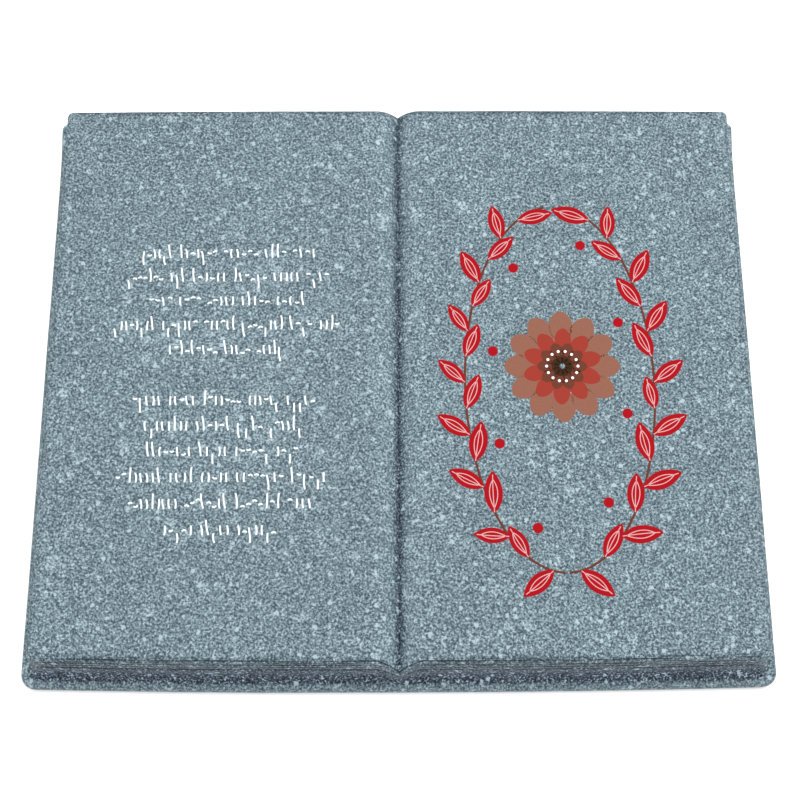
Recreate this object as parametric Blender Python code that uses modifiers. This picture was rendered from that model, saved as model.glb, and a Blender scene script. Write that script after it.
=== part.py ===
"""Memorial plaque in the shape of an open book, one solid casting.

Frame: +X runs across both pages, +Y from the reader's side to the head of the pages, +Z up.
The origin is under the middle of the plaque, on the surface that it stands on.
All sizes are in metres.

The right page is modelled and mirrored. Its top is a grid over a rounded rectangle. The rim of
the grid is then extruded down, ring by ring: round the page edge, over the grooves that stand
for the leaves, through the cove and round the lip to the flat underside.
"""

import math

import bmesh
import bpy

NAME = "open_book"
COLLECTION = "memorial_plaque"

# Overall size, over the lip and up to the crown of the pages
WIDTH = 0.305
DEPTH = 0.254
HEIGHT = 0.0335

# Pages
GUTTER_DEPTH = 0.0062
GUTTER_HALF_WIDTH = 0.009
GUTTER_POWER = 2.0
CROWN_FALL = 0.0010
CROWN_START = 0.030
PAGE_EDGE_RADIUS = 0.0022
PAGE_CORNER_RADIUS = 0.0026

# Wall of leaves below the pages: it leans out, and grooves run round it
WALL_LEAN = 0.0022
GROOVE_COUNT = 3
GROOVE_DEPTH = 0.0008
GROOVE_WIDTH = 0.0014
GROOVE_FADE = 0.0045

# Cove and lip, which stand for the cover
COVE_HEIGHT = 0.0085
COVE_REACH = 0.0046
LIP_HEIGHT = 0.0065
LIP_NOSE = 0.0023
LIP_ROUND_SHARE = 0.6
LIP_CORNER_FRONT = 0.0060
LIP_CORNER_HEAD = 0.0034
FOOT_RADIUS = 0.0008

# The reader's edge is bowed, and its leaves run out at the foot of the gutter.
# The lip flares a little at the head's corners.
FRONT_BOW = 0.0017
FRONT_BOW_POWER = 2.5
FRONT_BOW_FADE = 3
RUN_OUT = 0.0038
RUN_OUT_POWER = 1.4
RUN_OUT_FADE = 12
HEAD_FLARE = 0.0010
HEAD_FLARE_RUN = 0.030

# Steps of the mesh: columns crowd towards the gutter by a power of their number
GUTTER_COLUMNS = 7
GUTTER_CROWDING = 1.3
PAGE_COLUMNS = 6
PAGE_ROWS = 10
CORNER_STEPS = 3
EDGE_STEPS = 4
COVE_STEPS = 5
LIP_STEPS = 5

GRANITE_COLOUR = (0.238, 0.310, 0.352, 1.0)
GRANITE_ROUGHNESS = 0.72


class Level:
    """One ring round the plaque: how far it stands out from the page edge, and how high."""

    def __init__(self, out, height, page_share, corner_radius, groove=0.0, lip_share=0.0):
        self.out = out
        self.height = height
        self.page_share = page_share
        self.corner_radius = corner_radius
        self.groove = groove
        self.lip_share = lip_share


def lip_out():
    """Distance from the page edge to the outside of the lip."""
    return WALL_LEAN + COVE_REACH + LIP_NOSE


def page_drop(distance):
    """How far the page lies below its crown, at a distance from the gutter."""
    drop = 0.0
    if distance < GUTTER_HALF_WIDTH:
        drop += GUTTER_DEPTH * (1.0 - distance / GUTTER_HALF_WIDTH) ** GUTTER_POWER
    if distance > CROWN_START:
        run = WIDTH / 2 - lip_out() - CROWN_START
        drop += CROWN_FALL * ((distance - CROWN_START) / run) ** 2
    return drop


def wall_top():
    """Height where the round of the page edge meets the wall of leaves."""
    return HEIGHT - PAGE_EDGE_RADIUS


def wall_foot():
    """Height where the wall of leaves meets the cove."""
    return LIP_HEIGHT + COVE_HEIGHT


def edge_levels():
    """Rings of the quarter round from the flat of the page to the wall."""
    levels = []
    top_corner = max(PAGE_CORNER_RADIUS - PAGE_EDGE_RADIUS, PAGE_CORNER_RADIUS / 5)
    for step in range(EDGE_STEPS + 1):
        angle = 0.5 * math.pi * step / EDGE_STEPS
        out = PAGE_EDGE_RADIUS * (math.sin(angle) - 1.0)
        height = HEIGHT - PAGE_EDGE_RADIUS * (1.0 - math.cos(angle))
        corner = top_corner + (PAGE_CORNER_RADIUS - top_corner) * math.sin(angle)
        levels.append(Level(out, height, 1.0, corner))
    return levels


def wall_level(height, groove):
    """A ring of the wall of leaves, which leans out towards its foot."""
    share = (wall_top() - height) / (wall_top() - wall_foot())
    return Level(WALL_LEAN * share, height, 1.0 - share, PAGE_CORNER_RADIUS, groove)


def wall_levels():
    """Three rings for each groove, and one at the foot of the wall."""
    pitch = (wall_top() - wall_foot()) / GROOVE_COUNT
    width = min(GROOVE_WIDTH, pitch / 2)
    levels = []
    for number in range(GROOVE_COUNT):
        middle = wall_top() - pitch * (number + 0.5)
        levels.append(wall_level(middle + width / 2, 0.0))
        levels.append(wall_level(middle, GROOVE_DEPTH))
        levels.append(wall_level(middle - width / 2, 0.0))
    levels.append(wall_level(wall_foot(), 0.0))
    return levels


def cove_levels():
    """Rings of the hollow quarter that sweeps out from the wall to the lip."""
    levels = []
    for step in range(1, COVE_STEPS + 1):
        angle = 0.5 * math.pi * step / COVE_STEPS
        reach = 1.0 - math.cos(angle)
        out = WALL_LEAN + COVE_REACH * reach
        height = LIP_HEIGHT + COVE_HEIGHT * (1.0 - math.sin(angle))
        levels.append(Level(out, height, 0.0, PAGE_CORNER_RADIUS, lip_share=reach))
    return levels


def lip_levels():
    """Rings of the round nose of the lip, down to the underside."""
    levels = []
    nose_height = (LIP_HEIGHT - FOOT_RADIUS) * LIP_ROUND_SHARE
    for step in range(1, LIP_STEPS + 1):
        angle = 0.5 * math.pi * step / LIP_STEPS
        out = WALL_LEAN + COVE_REACH + LIP_NOSE * math.sin(angle)
        height = LIP_HEIGHT - nose_height * (1.0 - math.cos(angle))
        levels.append(Level(out, height, 0.0, PAGE_CORNER_RADIUS, lip_share=1.0))
    levels.append(Level(lip_out(), FOOT_RADIUS, 0.0, PAGE_CORNER_RADIUS, lip_share=1.0))
    foot_corner = PAGE_CORNER_RADIUS - FOOT_RADIUS
    levels.append(Level(lip_out() - FOOT_RADIUS, 0.0, 0.0, foot_corner, lip_share=1.0))
    return levels


def corner_radius(along, level):
    """Corner radius of a level, which turns into the lip's own as the cove sweeps out."""
    lip_corner = LIP_CORNER_FRONT if along < 0.0 else LIP_CORNER_HEAD
    return level.corner_radius + (lip_corner - PAGE_CORNER_RADIUS) * level.lip_share


def plan_point(across, along, level):
    """Point of a rounded rectangle.

    across and along run from 0 at the middle to 1 at the start of the corner and 2 at the
    outside. In the corner, square rings are turned into arcs about the corner's centre.
    """
    half_x = WIDTH / 2 - lip_out() + level.out
    half_y = DEPTH / 2 - lip_out() + level.out
    radius = corner_radius(along, level)
    in_x = min(across, 1.0) * (half_x - radius)
    in_y = max(-1.0, min(along, 1.0)) * (half_y - radius)
    corner_x = max(across - 1.0, 0.0)
    corner_y = max(abs(along) - 1.0, 0.0)
    reach = max(corner_x, corner_y)
    if corner_x > 0.0 and corner_y > 0.0:
        if corner_x >= corner_y:
            angle = 0.25 * math.pi * corner_y / corner_x
        else:
            angle = 0.25 * math.pi * (2.0 - corner_x / corner_y)
        corner_x = reach * math.cos(angle)
        corner_y = reach * math.sin(angle)
    x = in_x + radius * corner_x
    y = in_y + math.copysign(radius * corner_y, along)
    y -= run_out(x, -y / half_y, level)
    return bowed(x, y, half_x, half_y, level.lip_share)


def run_out(distance, toward_front, level):
    """How far the reader's edge stands out further, where the pages dip into the gutter."""
    dip = max(0.0, 1.0 - distance / GUTTER_HALF_WIDTH) ** RUN_OUT_POWER
    share = 0.5 * (level.page_share + 1.0 - level.lip_share)
    return RUN_OUT * dip * share * max(0.0, toward_front) ** RUN_OUT_FADE


def bowed(x, y, half_x, half_y, lip_share):
    """Bows the reader's edge, and spreads the lip towards the head's corners."""
    toward_front = max(0.0, -y / half_y) ** FRONT_BOW_FADE
    y += FRONT_BOW * toward_front * abs(x / half_x) ** FRONT_BOW_POWER
    past_start = max(0.0, (y - (half_y - HEAD_FLARE_RUN)) / HEAD_FLARE_RUN)
    x += HEAD_FLARE * lip_share * (x / half_x) * past_start**2
    return x, y


def groove_share(across, along):
    """1 along the straight stretches, falling to 0 where a corner starts."""
    if across > 1.0 and abs(along) > 1.0:
        return 0.0
    if across > 1.0:
        left = (1.0 - abs(along)) * (DEPTH / 2 - lip_out() - PAGE_CORNER_RADIUS)
    else:
        left = (1.0 - across) * (WIDTH / 2 - lip_out() - PAGE_CORNER_RADIUS)
    return min(left / GROOVE_FADE, 1.0)


def place(vertex, level, layers):
    """Moves a vertex to where its grid place falls on a level."""
    across = vertex[layers[0]]
    along = vertex[layers[1]]
    x, y = plan_point(across, along, level)
    if level.groove > 0.0:
        depth = level.groove * groove_share(across, along)
        x -= depth * (1.0 if across > 1.0 else 0.0)
        y -= math.copysign(depth, along) * (1.0 if abs(along) > 1.0 else 0.0)
    vertex.co = (x, y, level.height - level.page_share * page_drop(x))


def corner_places():
    """Grid places from the start of a corner to the outside."""
    return [1.0 + step / CORNER_STEPS for step in range(CORNER_STEPS + 1)]


def column_places():
    """Grid places across the right page, closer together in the gutter."""
    straight = WIDTH / 2 - lip_out() - PAGE_CORNER_RADIUS
    gutter = [
        GUTTER_HALF_WIDTH * (i / GUTTER_COLUMNS) ** GUTTER_CROWDING
        for i in range(GUTTER_COLUMNS)
    ]
    last = straight - GROOVE_FADE
    page = [
        GUTTER_HALF_WIDTH + (last - GUTTER_HALF_WIDTH) * i / PAGE_COLUMNS
        for i in range(PAGE_COLUMNS + 1)
    ]
    return [distance / straight for distance in gutter + page] + corner_places()


def row_places():
    """Grid places from the reader's edge to the head."""
    straight = DEPTH / 2 - lip_out() - PAGE_CORNER_RADIUS
    last = 1.0 - GROOVE_FADE / straight
    page = [last * (2.0 * i / PAGE_ROWS - 1.0) for i in range(PAGE_ROWS + 1)]
    return [-place for place in reversed(corner_places())] + page + corner_places()


def right_half():
    """The right half of the plaque, open where it meets the left half."""
    columns = column_places()
    rows = row_places()
    levels = edge_levels()
    bm = bmesh.new()
    layers = (bm.verts.layers.float.new("across"), bm.verts.layers.float.new("along"))
    bmesh.ops.create_grid(bm, x_segments=len(columns) - 1, y_segments=len(rows) - 1, size=0.5)
    for vertex in bm.verts:
        column = round((vertex.co.x + 0.5) * (len(columns) - 1))
        row = round((vertex.co.y + 0.5) * (len(rows) - 1))
        vertex[layers[0]] = columns[column]
        vertex[layers[1]] = rows[row]
    rim = [edge for edge in bm.edges if edge.is_boundary and not on_middle(edge, layers[0])]
    for vertex in bm.verts:
        place(vertex, levels[0], layers)
    for level in levels[1:] + wall_levels() + cove_levels() + lip_levels():
        made = bmesh.ops.extrude_edge_only(bm, edges=rim)["geom"]
        rim = [item for item in made if isinstance(item, bmesh.types.BMEdge)]
        for vertex in {vertex for edge in rim for vertex in edge.verts}:
            place(vertex, level, layers)
    underside(bm, rim)
    bmesh.ops.recalc_face_normals(bm, faces=bm.faces)
    return bm


def on_middle(edge, layer):
    """True for an edge on the plane between the pages."""
    return all(vertex[layer] == 0.0 for vertex in edge.verts)


def underside(bm, rim):
    """Closes the last ring with one flat face, which reaches to the middle plane."""
    ring = {vertex for edge in rim for vertex in edge.verts}
    ends = sorted((v for v in ring if abs(v.co.x) < 1e-9), key=lambda v: v.co.y)
    middle = bm.edges.new(ends)
    bmesh.ops.contextual_create(bm, geom=rim + [middle])


def granite_material():
    """Moulded granite-effect surface: a matt speckled blue-grey."""
    material = bpy.data.materials.new("granite_effect")
    material.use_nodes = True
    shader = material.node_tree.nodes["Principled BSDF"]
    shader.inputs["Base Color"].default_value = GRANITE_COLOUR
    shader.inputs["Roughness"].default_value = GRANITE_ROUGHNESS
    shader.inputs["Metallic"].default_value = 0.0
    return material


def open_book(collection):
    """The whole plaque: the right half with its mirror image."""
    bm = right_half()
    mesh = bpy.data.meshes.new(NAME)
    bm.to_mesh(mesh)
    bm.free()
    mesh.shade_smooth()
    mesh.set_sharp_from_angle(angle=math.radians(35.0))
    mesh.materials.append(granite_material())
    book = bpy.data.objects.new(NAME, mesh)
    collection.objects.link(book)
    mirror = book.modifiers.new("left half", "MIRROR")
    mirror.use_axis = (True, False, False)
    mirror.merge_threshold = 0.00001
    return book


def main():
    for item in list(bpy.data.objects):
        bpy.data.objects.remove(item, do_unlink=True)
    collection = bpy.data.collections.new(COLLECTION)
    bpy.context.scene.collection.children.link(collection)
    open_book(collection)


main()
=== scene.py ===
"""Looks of an open-book memorial plaque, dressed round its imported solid.

The plaque is one casting in a speckled granite effect. Its two pages carry printing: rows of
white strokes on the left page, and an oval wreath round a rosette on the right page.
Everything is in metres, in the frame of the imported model: +X across the pages, +Y to their
head, +Z up, with the origin under the middle of the plaque.
"""

import logging
import math
from collections.abc import Iterable
from dataclasses import dataclass, field
from enum import Enum

import bmesh
import bpy
import numpy as np
from mathutils import Matrix, Vector, noise


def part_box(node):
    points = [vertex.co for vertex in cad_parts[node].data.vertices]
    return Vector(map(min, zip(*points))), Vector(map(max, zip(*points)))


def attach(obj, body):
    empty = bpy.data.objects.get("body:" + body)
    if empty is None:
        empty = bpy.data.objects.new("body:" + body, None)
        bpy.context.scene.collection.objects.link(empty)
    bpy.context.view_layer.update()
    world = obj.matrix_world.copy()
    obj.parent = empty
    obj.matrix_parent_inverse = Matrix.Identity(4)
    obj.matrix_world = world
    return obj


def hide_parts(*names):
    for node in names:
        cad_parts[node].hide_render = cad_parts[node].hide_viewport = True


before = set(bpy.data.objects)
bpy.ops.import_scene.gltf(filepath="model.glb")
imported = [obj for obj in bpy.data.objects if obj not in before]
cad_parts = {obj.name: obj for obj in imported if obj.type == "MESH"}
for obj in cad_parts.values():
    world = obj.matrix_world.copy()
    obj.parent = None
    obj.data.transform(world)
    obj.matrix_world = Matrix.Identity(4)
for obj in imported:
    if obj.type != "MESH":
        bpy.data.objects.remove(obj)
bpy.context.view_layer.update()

LOG = logging.getLogger("memorial_plaque")
ROOT = "root"
NODE = "open_book"
MM = 0.001
PER_MM = 1000.0

Node = bpy.types.Node
Socket = bpy.types.NodeSocket
Tree = bpy.types.NodeTree


class Tone(Enum):
    """Colours of the plaque, as sRGB hex values.

    The GRAIN tones are the granite effect in the open, and the SHADE tones are the same
    granite with painted shade, for the recesses, each from the deepest speck to the palest fleck.
    """

    GRAIN_DEEP = "#303F49"
    GRAIN_DARK = "#54666D"
    GRAIN_MIDDLE = "#6B7B83"
    GRAIN_LIGHT = "#829399"
    GRAIN_PALE = "#A0B1BA"
    SHADE_DEEP = "#111621"
    SHADE_DARK = "#29313E"
    SHADE_MIDDLE = "#424E5C"
    SHADE_LIGHT = "#6C7D8A"
    SHADE_PALE = "#B2C6D2"
    WHITE_INK = "#E4EAED"
    CRIMSON_INK = "#93020F"
    VEIN_INK = "#CDA0A1"
    DUSTY_INK = "#7F5444"
    BRICK_INK = "#8A3026"
    BARK_INK = "#5F3123"
    DARK_INK = "#34200F"
    PAPER = "#FDFDFD"


class Stroke(Enum):
    """Kinds of mark in the printed rows, each with the first salt of its random draws."""

    TICK = 20
    BOW = 30


def linear(tone: Tone | str) -> tuple[float, float, float, float]:
    """Turns an sRGB hex colour into linear values.

    Args:
        tone: A Tone, or a hex string such as "#A4715F".

    Returns:
        Red, green, blue and an alpha of 1, linear.
    """
    code = tone.value if isinstance(tone, Tone) else tone
    channels = [int(code[i : i + 2], 16) / 255 for i in (1, 3, 5)]
    turned = [c / 12.92 if c <= 0.04045 else ((c + 0.055) / 1.055) ** 2.4 for c in channels]
    return (*turned, 1.0)


def add_node(
    tree: Tree, kind: str, inputs: dict[int | str, object] | None = None, **settings: object
) -> Node:
    """Adds a node to a tree, with its settings, values and links.

    Args:
        tree: The shader or geometry tree.
        kind: The node's type name.
        inputs: Socket name or number to a value, or to the output socket that feeds it.
        **settings: Properties of the node.

    Returns:
        The new node.
    """
    node = tree.nodes.new(kind)
    for name, value in settings.items():
        setattr(node, name, value)
    for name, value in (inputs or {}).items():
        if isinstance(value, Socket):
            tree.links.new(value, node.inputs[name])
        else:
            node.inputs[name].default_value = value
    return node


def set_ramp(node: Node, stops: Iterable[tuple[float, Tone]]) -> None:
    """Gives a colour ramp its stops.

    Args:
        node: The ramp.
        stops: Place and colour of each stop, in rising order.
    """
    ramp = node.color_ramp
    stops = list(stops)
    while len(ramp.elements) < len(stops):
        ramp.elements.new(1.0)
    for element, (place, tone) in zip(ramp.elements, stops):
        element.position = place
        element.color = linear(tone)


def wave(x: np.ndarray, y: np.ndarray, per_metre: float, layer: float) -> np.ndarray:
    """Returns smooth random values at places on one layer of noise.

    Args:
        x: X of the places.
        y: Y of the places.
        per_metre: How many swells lie along a metre.
        layer: Which layer of the noise is read.

    Returns:
        A value for each place, about -1 to 1.
    """
    places = (Vector((a * per_metre, b * per_metre, layer)) for a, b in zip(x, y))
    return np.array([noise.noise(place) for place in places])


def new_material(name: str) -> tuple[bpy.types.Material, Tree, Node]:
    """Makes a material that holds only a Principled shader.

    Args:
        name: The material's name.

    Returns:
        The material, its tree and its shader.
    """
    material = bpy.data.materials.new(name)
    material.use_nodes = True
    tree = material.node_tree
    return material, tree, tree.nodes["Principled BSDF"]


@dataclass(frozen=True)
class GraniteEffect:
    """Cast resin with a sprayed granite effect: matt, with a fine grain and pale flecks.

    The eye gets a dense pepper of dark and light specks under a millimetre across, larger
    irregular flecks of ice blue, and a dull, slightly rough skin with no shine. The real
    pepper is finer than the render can show, so it is drawn about twice as coarse.

    Sizes that end in _mm are real millimetres. Fleck shares are of all cells, and reaches,
    edges and warps are in cell widths. Tones, lift and shift are in steps of the speckle,
    which runs from 0, the deepest speck, to 1, the palest fleck.
    """

    detail: float = 2.0
    grain_mm: float = 0.88
    grain_sharpness: float = 0.7
    grain_low: float = 0.375
    grain_high: float = 0.695
    small_fleck_mm: float = 2.6
    small_fleck_share: float = 0.42
    small_fleck_reach: float = 0.40
    large_fleck_mm: float = 5.8
    large_fleck_share: float = 0.85
    large_fleck_reach: float = 0.38
    fleck_warps: float = 2.6
    fleck_warp: float = 0.9
    fleck_edge_out: float = -0.04
    fleck_edge_in: float = 0.05
    fleck_tone: float = 0.92
    fleck_lift: float = 0.24
    painted_line_shift: float = 0.55
    tone_places: tuple[float, ...] = (0.00, 0.28, 0.50, 0.72, 1.00)
    open_tones: tuple[Tone, ...] = (
        Tone.GRAIN_DEEP,
        Tone.GRAIN_DARK,
        Tone.GRAIN_MIDDLE,
        Tone.GRAIN_LIGHT,
        Tone.GRAIN_PALE,
    )
    # The same granite with painted shade, for the recesses.
    painted_shade_tones: tuple[Tone, ...] = (
        Tone.SHADE_DEEP,
        Tone.SHADE_DARK,
        Tone.SHADE_MIDDLE,
        Tone.SHADE_LIGHT,
        Tone.SHADE_PALE,
    )
    drift_mm: float = 45.0
    drift: float = 0.03
    drift_low: float = 0.3
    drift_high: float = 0.7
    upright_scale: float = 0.8
    lie: tuple[float, float, float] = (0.61, 0.43, 0.27)
    roughness: float = 0.68
    ior: float = 1.5
    specular: float = 0.22
    grain_relief_mm: float = 0.05

    def build(self) -> bpy.types.Material:
        """Makes the material.

        The pattern lies askew to the casting, so that no row of flecks runs along an edge.

        Returns:
            The finished material.
        """
        material, tree, shader = new_material("granite_effect")
        where = add_node(tree, "ShaderNodeTexCoord").outputs["Object"]
        scale = (PER_MM, PER_MM, PER_MM * self.upright_scale)
        place = add_node(
            tree, "ShaderNodeMapping", {"Vector": where, "Rotation": self.lie, "Scale": scale}
        ).outputs["Vector"]
        speckle = self._speckle(tree, place)
        # Painted shade: the granite turns to the shaded tones where the mesh's value is high.
        recess = add_node(tree, "ShaderNodeAttribute", attribute_name=BookCasting.PAINTED_SHADE)
        open_colour = self._toned(tree, speckle, self.open_tones)
        painted_shade_colour = self._toned(tree, speckle, self.painted_shade_tones)
        colour = add_node(
            tree,
            "ShaderNodeMix",
            {0: recess.outputs["Fac"], 6: open_colour, 7: painted_shade_colour},
            data_type="RGBA",
        ).outputs[2]
        tree.links.new(self._drifted(tree, place, colour), shader.inputs["Base Color"])
        shader.inputs["Roughness"].default_value = self.roughness
        shader.inputs["IOR"].default_value = self.ior
        shader.inputs["Specular IOR Level"].default_value = self.specular
        bump = add_node(
            tree, "ShaderNodeBump", {"Height": speckle, "Distance": self.grain_relief_mm * MM}
        )
        tree.links.new(bump.outputs["Normal"], shader.inputs["Normal"])
        return material

    def _speckle(self, tree: Tree, place: Socket) -> Socket:
        """Lays the flecks over the pepper, lowers both along the leaf lines as painted shade, and
        raises both on the gutter's shoulders as a painted highlight.

        Large flecks lift the pepper that shows through them, and small ones cover it.

        Args:
            tree: The material's tree.
            place: The position in millimetres.

        Returns:
            The socket of the speckle, 0 to 1.
        """
        grain = self._grain(tree, place)
        large = self._flecks(
            tree, place, self.large_fleck_mm, self.large_fleck_share, self.large_fleck_reach
        )
        lifted = add_node(
            tree, "ShaderNodeMath", {0: large, 1: self.fleck_lift, 2: grain}, operation="MULTIPLY_ADD"
        ).outputs["Value"]
        small = self._flecks(
            tree, place, self.small_fleck_mm, self.small_fleck_share, self.small_fleck_reach
        )
        solid = add_node(
            tree, "ShaderNodeMath", {0: small, 1: self.fleck_tone}, operation="MULTIPLY"
        ).outputs["Value"]
        both = add_node(
            tree, "ShaderNodeMath", {0: lifted, 1: solid}, operation="MAXIMUM"
        ).outputs["Value"]
        # Painted shade along the leaf lines lowers the speckle; where the value is below 0 it raises
        # it, a painted highlight on the gutter's shoulders.
        line = add_node(tree, "ShaderNodeAttribute", attribute_name=BookCasting.LINE_SHADE_AND_HIGHLIGHT)
        return add_node(
            tree,
            "ShaderNodeMath",
            {0: line.outputs["Fac"], 1: -self.painted_line_shift, 2: both},
            operation="MULTIPLY_ADD",
        ).outputs["Value"]

    def _grain(self, tree: Tree, place: Socket) -> Socket:
        """Makes the fine pepper.

        Args:
            tree: The material's tree.
            place: The position in millimetres.

        Returns:
            The socket of the pepper, 0 to 1.
        """
        pepper = add_node(
            tree,
            "ShaderNodeTexNoise",
            {
                "Vector": place,
                "Scale": 1 / self.grain_mm,
                "Detail": self.detail,
                "Roughness": self.grain_sharpness,
            },
        )
        return add_node(
            tree,
            "ShaderNodeMapRange",
            {0: pepper.outputs["Fac"], 1: self.grain_low, 2: self.grain_high},
        ).outputs["Result"]

    def _flecks(
        self, tree: Tree, place: Socket, cell_mm: float, share: float, reach: float
    ) -> Socket:
        """Adds irregular flecks, one in each of some cells of a random grid.

        Args:
            tree: The material's tree.
            place: The position in millimetres.
            cell_mm: Width of a cell.
            share: Share of the cells that hold a fleck.
            reach: Radius of the largest fleck, as a share of its cell.

        Returns:
            The socket of the mask, 1 on a fleck.
        """
        warp = add_node(
            tree,
            "ShaderNodeTexNoise",
            {"Vector": place, "Scale": self.fleck_warps / cell_mm, "Detail": self.detail},
        )
        spread = add_node(
            tree,
            "ShaderNodeVectorMath",
            {0: warp.outputs["Color"], 1: (self.fleck_warp * cell_mm,) * 3},
            operation="MULTIPLY",
        )
        moved = add_node(
            tree, "ShaderNodeVectorMath", {0: place, 1: spread.outputs["Vector"]}, operation="ADD"
        )
        cells = add_node(
            tree,
            "ShaderNodeTexVoronoi",
            {"Vector": moved.outputs["Vector"], "Scale": 1 / cell_mm, "Randomness": 1.0},
        )
        lot = add_node(tree, "ShaderNodeSeparateColor", {0: cells.outputs["Color"]}).outputs[0]
        size = add_node(
            tree, "ShaderNodeMapRange", {0: lot, 1: 1.0 - share, 2: 1.0, 4: reach}
        ).outputs["Result"]
        gap = add_node(
            tree, "ShaderNodeMath", {0: size, 1: cells.outputs["Distance"]}, operation="SUBTRACT"
        ).outputs["Value"]
        return add_node(
            tree, "ShaderNodeMapRange", {0: gap, 1: self.fleck_edge_out, 2: self.fleck_edge_in}
        ).outputs["Result"]

    def _toned(self, tree: Tree, speckle: Socket, tones: tuple[Tone, ...]) -> Socket:
        """Colours the speckle.

        Args:
            tree: The material's tree.
            speckle: The speckle, 0 to 1.
            tones: The tones, from the deepest speck to the palest fleck.

        Returns:
            The socket of the colour.
        """
        ramp = add_node(tree, "ShaderNodeValToRGB", {"Fac": speckle})
        set_ramp(ramp, zip(self.tone_places, tones))
        return ramp.outputs["Color"]

    def _drifted(self, tree: Tree, place: Socket, colour: Socket) -> Socket:
        """Lets the tone drift a little across the casting.

        Args:
            tree: The material's tree.
            place: The position in millimetres.
            colour: The colour so far.

        Returns:
            The socket of the new colour.
        """
        swell = add_node(
            tree,
            "ShaderNodeTexNoise",
            {"Vector": place, "Scale": 1 / self.drift_mm, "Detail": self.detail},
        ).outputs["Fac"]
        low, high = 1.0 - self.drift, 1.0 + self.drift
        factor = add_node(
            tree,
            "ShaderNodeMapRange",
            {0: swell, 1: self.drift_low, 2: self.drift_high, 3: low, 4: high},
        ).outputs["Result"]
        return add_node(
            tree,
            "ShaderNodeMix",
            {0: 1.0, 6: colour, 7: factor},
            data_type="RGBA",
            blend_type="MULTIPLY",
        ).outputs[2]


@dataclass(frozen=True)
class PrintingInk:
    """Matt printing ink on the page, printed from a pad.

    The eye gets a flat colour, a little uneven where the grain of the casting shows through.
    """

    name: str
    tone: Tone
    roughness: float = 0.6
    ior: float = 1.5
    specular: float = 0.06
    detail: float = 2.0
    mottle_mm: float = 0.9
    mottle: float = 0.06
    mottle_low: float = 0.35
    mottle_high: float = 0.65
    relief_mm: float = 0.02

    def build(self) -> bpy.types.Material:
        """Makes the material.

        Returns:
            The finished material.
        """
        material, tree, shader = new_material(self.name)
        where = add_node(tree, "ShaderNodeTexCoord").outputs["Object"]
        place = add_node(tree, "ShaderNodeMapping", {"Vector": where, "Scale": (PER_MM,) * 3})
        speck = add_node(
            tree,
            "ShaderNodeTexNoise",
            {
                "Vector": place.outputs["Vector"],
                "Scale": 1 / self.mottle_mm,
                "Detail": self.detail,
            },
        ).outputs["Fac"]
        shade = add_node(
            tree,
            "ShaderNodeMapRange",
            {0: speck, 1: self.mottle_low, 2: self.mottle_high, 3: 1.0 - self.mottle, 4: 1.0},
        )
        colour = add_node(tree, "ShaderNodeMix", {0: 1.0}, data_type="RGBA", blend_type="MULTIPLY")
        colour.inputs[6].default_value = linear(self.tone)
        tree.links.new(shade.outputs["Result"], colour.inputs[7])
        tree.links.new(colour.outputs[2], shader.inputs["Base Color"])
        shader.inputs["Roughness"].default_value = self.roughness
        shader.inputs["IOR"].default_value = self.ior
        shader.inputs["Specular IOR Level"].default_value = self.specular
        bump = add_node(
            tree, "ShaderNodeBump", {"Height": speck, "Distance": self.relief_mm * MM}
        )
        tree.links.new(bump.outputs["Normal"], shader.inputs["Normal"])
        return material


@dataclass(frozen=True)
class LeafLine:
    """One line between the leaves, on the wall of the book or on the round above it.

    The place is a share of the wall from its top to the cove, or, below 0, of the round from
    the wall up to the page. The depth is a share of the deepest groove, and also sets how dark
    the painted shade along the line is, and the half width is in metres. Real leaf lines are
    finer, and are drawn wider here, groove and painted shade alike, so that they show.
    """

    place: float
    depth: float
    half_width: float


@dataclass(frozen=True)
class Level:
    """One ring of the casting's mesh, from the flat of the page down to the underside.

    The ring lies out past the page edge by out, at a height that holds for the crown of the
    page. The shares run from 0 to 1: page is how far it follows the gutter and the crown, lip
    how far it has come out to the lip, and cove how much painted shade the cove gives it. The
    wall's share is below 0 on the round above it, and None where the ring isn't on the wall.
    """

    out: float
    height: float
    corner: float
    page: float = 0.0
    lip: float = 0.0
    cove: float = 0.0
    drawn_in: float = 0.0
    wall: float | None = None


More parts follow.
